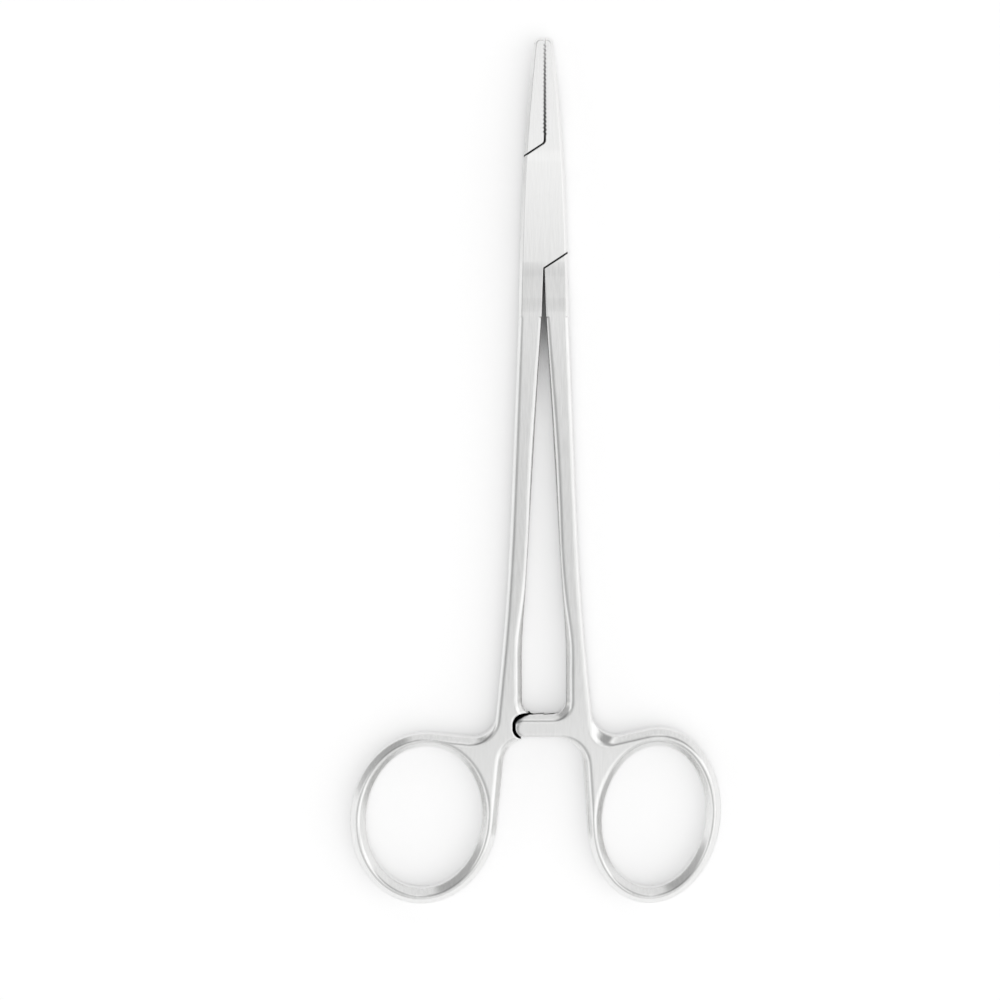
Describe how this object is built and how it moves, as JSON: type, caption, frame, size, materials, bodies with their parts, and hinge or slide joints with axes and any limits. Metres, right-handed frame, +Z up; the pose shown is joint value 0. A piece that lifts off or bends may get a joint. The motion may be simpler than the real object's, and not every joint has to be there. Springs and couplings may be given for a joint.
{
  "type": "surgical needle holder",
  "caption": "Steel needle holder with narrow serrated jaws, a box lock, long shanks, a ratchet catch and ring handles; it opens at the box lock.",
  "frame": {"origin": "on the pivot's axis, at the underside of the box lock", "axes": "+Y along the instrument towards the jaws, +X across it to the right, +Z up through its thickness"},
  "size_m": [0.0694, 0.1604, 0.0056],
  "materials": {
    "steel": "satin"
  },
  "bodies": {
    "box_side": {"box_half": "steel", "pivot_pin": "steel"},
    "tongue_side": {"tongue_half": "steel"}
  },
  "joints": [
    {"name": "box_lock", "type": "hinge", "parent": "box_side", "child": "tongue_side", "pos_m": [0, 0, 0.0028], "axis": [0, 0, 1], "range_deg": [0, 60]}
  ]
}
